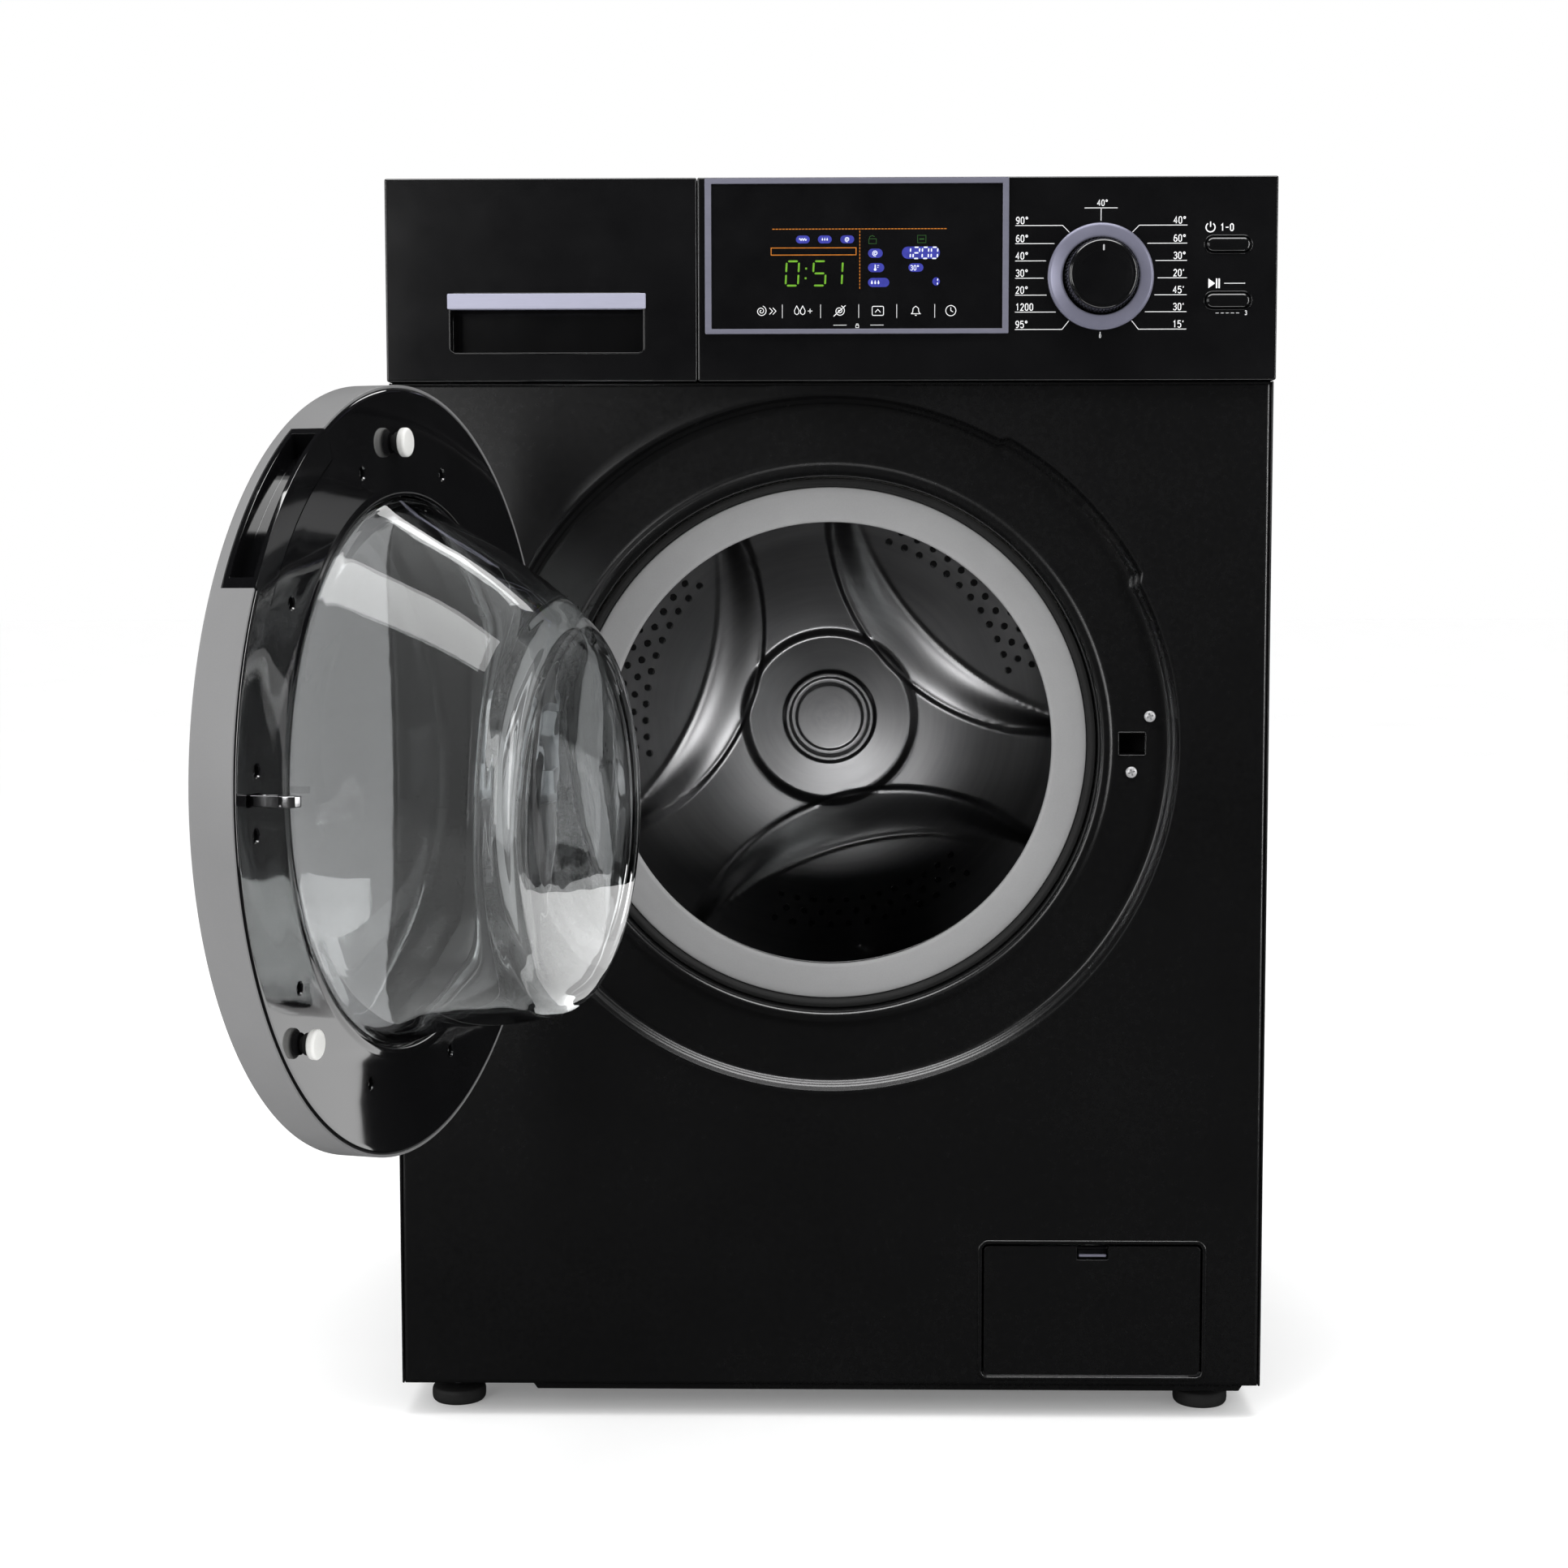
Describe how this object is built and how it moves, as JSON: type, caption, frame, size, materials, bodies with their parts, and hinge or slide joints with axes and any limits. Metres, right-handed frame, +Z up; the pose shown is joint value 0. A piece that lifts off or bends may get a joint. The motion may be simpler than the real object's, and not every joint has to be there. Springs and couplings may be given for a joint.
{
  "type": "front-loading washing machine",
  "caption": "Black front-loading washing machine with a round glass door that swings open, a turning drum, a detergent drawer, a selector knob, push buttons and levelling feet.",
  "frame": {"origin": "on the floor under the middle of the overall box with the door open at rest; the cabinet's own footprint centre is at x 0.0166 m, y 0.2193 m", "axes": "+Z up; the machine faces -Y (door, console and drawer); +X is the right-hand side seen from the front"},
  "size_m": [0.6303, 1.0107, 0.85],
  "materials": {
    "black_steel": "satin, fine orange-peel black enamel",
    "black_laminate": "black laminate over board",
    "black_plastic": "gloss black moulding",
    "display_glass": "gloss black window",
    "lavender_trim": "satin lavender-grey trim",
    "silver_rim": "satin light-grey moulding",
    "clear_glass": "clear pressed glass",
    "grey_rubber": "light-grey door seal",
    "black_rubber": "black rubber",
    "stainless": "polished stainless steel",
    "zinc_steel": "zinc-plated steel",
    "cast_alloy": "die-cast aluminium",
    "grey_plastic": "grey moulding",
    "white_plastic": "off-white moulding",
    "concrete": "cast concrete",
    "chrome_steel": "bright chrome",
    "circuit_green": "solder-masked board"
  },
  "bodies": {
    "cabinet": {"side_panel_left": "black_steel", "side_panel_right": "black_steel", "rear_panel": "black_steel", "top_cover": "black_laminate", "base_plate": "black_steel", "front_panel": "black_steel", "console_fascia": "black_plastic", "display_window": "display_glass", "display_bezel": "lavender_trim", "control_board": "circuit_green", "knob_ring": "lavender_trim", "dispenser_housing": "grey_plastic", "inlet_valve": "white_plastic", "door_lock": "grey_plastic", "door_gasket": "grey_rubber", "tub_front": "grey_plastic", "tub_rear": "grey_plastic", "heater": "stainless", "front_counterweight": "concrete", "suspension_spring_left": "zinc_steel", "suspension_spring_right": "zinc_steel", "damper_left": "grey_plastic", "damper_right": "grey_plastic", "drum_bearing": "zinc_steel", "drive_motor": "zinc_steel", "drive_belt": "black_rubber", "drain_pump": "white_plastic", "power_inlet": "black_plastic", "drain_outlet": "grey_plastic", "hinge_bracket": "zinc_steel", "hinge_pin": "zinc_steel"},
    "door": {"door_outer_rim": "silver_rim", "door_window": "black_plastic", "door_inner_frame": "black_plastic", "door_glass_bowl": "clear_glass", "door_grip": "black_plastic", "door_bumper_upper": "white_plastic", "door_bumper_lower": "white_plastic", "hinge_leaf": "zinc_steel"},
    "latch": {"latch_hook": "chrome_steel"},
    "drum": {"drum_shell": "stainless", "drum_back": "stainless", "drum_lifter_1": "stainless", "drum_lifter_2": "stainless", "drum_lifter_3": "stainless", "drum_spider": "cast_alloy", "drum_pulley": "cast_alloy"},
    "rotor": {"motor_pulley": "zinc_steel"},
    "drawer": {"drawer_front": "black_plastic", "drawer_handle_bar": "lavender_trim", "drawer_tray": "grey_plastic"},
    "selector": {"control_knob": "black_plastic"},
    "power_key": {"power_button": "black_plastic"},
    "start_key": {"start_button": "black_plastic"},
    "hatch": {"service_hatch": "black_plastic"},
    "filter": {"filter_cap": "grey_plastic"},
    "foot_fl": {"foot_front_left": "black_rubber"},
    "foot_fr": {"foot_front_right": "black_rubber"},
    "foot_rl": {"foot_rear_left": "black_rubber"},
    "foot_rr": {"foot_rear_right": "black_rubber"}
  },
  "joints": [
    {"name": "door_hinge", "type": "hinge", "parent": "cabinet", "child": "door", "pos_m": [-0.1937, -0.0772, 0.4676], "axis": [0, 0, -1], "range_deg": [-104.4, 35.6]},
    {"name": "latch_pivot", "type": "hinge", "parent": "door", "child": "latch", "pos_m": [-0.29583, -0.48099, 0.468], "axis": [0, 0, 1], "range_deg": [-6, 6], "stiffness_Nm_per_rad": 0.6},
    {"name": "drum_spin", "type": "hinge", "parent": "cabinet", "child": "drum", "pos_m": [0.0166, 0.2193, 0.4676], "axis": [0, 1, 0], "continuous": true},
    {"name": "motor_spin", "type": "hinge", "parent": "cabinet", "child": "rotor", "pos_m": [-0.0434, 0.3893, 0.12], "axis": [0, 1, 0], "continuous": true},
    {"name": "detergent_drawer_slide", "type": "slide", "parent": "cabinet", "child": "drawer", "axis": [0, -1, 0], "range_m": [0, 0.2]},
    {"name": "knob_turn", "type": "hinge", "parent": "cabinet", "child": "selector", "pos_m": [0.1972, -0.0667, 0.7828], "axis": [0, -1, 0], "continuous": true},
    {"name": "power_press", "type": "slide", "parent": "cabinet", "child": "power_key", "axis": [0, 1, 0], "range_m": [0, 0.0015], "stiffness_N_per_m": 400},
    {"name": "start_press", "type": "slide", "parent": "cabinet", "child": "start_key", "axis": [0, 1, 0], "range_m": [0, 0.0015], "stiffness_N_per_m": 400},
    {"name": "hatch_hinge", "type": "hinge", "parent": "cabinet", "child": "hatch", "pos_m": [0.1978, -0.0587, 0.033], "axis": [1, 0, 0], "range_deg": [0, 95]},
    {"name": "filter_cap_turn", "type": "hinge", "parent": "cabinet", "child": "filter", "pos_m": [0.1978, -0.0607, 0.08], "axis": [0, -1, 0], "range_deg": [0, 90]},
    {"name": "levelling_front_left", "type": "hinge", "parent": "cabinet", "child": "foot_fl", "pos_m": [-0.2474, -0.0207, 0.01], "axis": [0, 0, 1], "continuous": true},
    {"name": "levelling_front_right", "type": "hinge", "parent": "cabinet", "child": "foot_fr", "pos_m": [0.2786, -0.0207, 0.01], "axis": [0, 0, 1], "continuous": true},
    {"name": "levelling_rear_left", "type": "hinge", "parent": "cabinet", "child": "foot_rl", "pos_m": [-0.2474, 0.4543, 0.01], "axis": [0, 0, 1], "continuous": true},
    {"name": "levelling_rear_right", "type": "hinge", "parent": "cabinet", "child": "foot_rr", "pos_m": [0.2786, 0.4543, 0.01], "axis": [0, 0, 1], "continuous": true}
  ],
  "couplings": [
    {"joint": "motor_spin", "follows": "drum_spin", "ratio": 10}
  ]
}
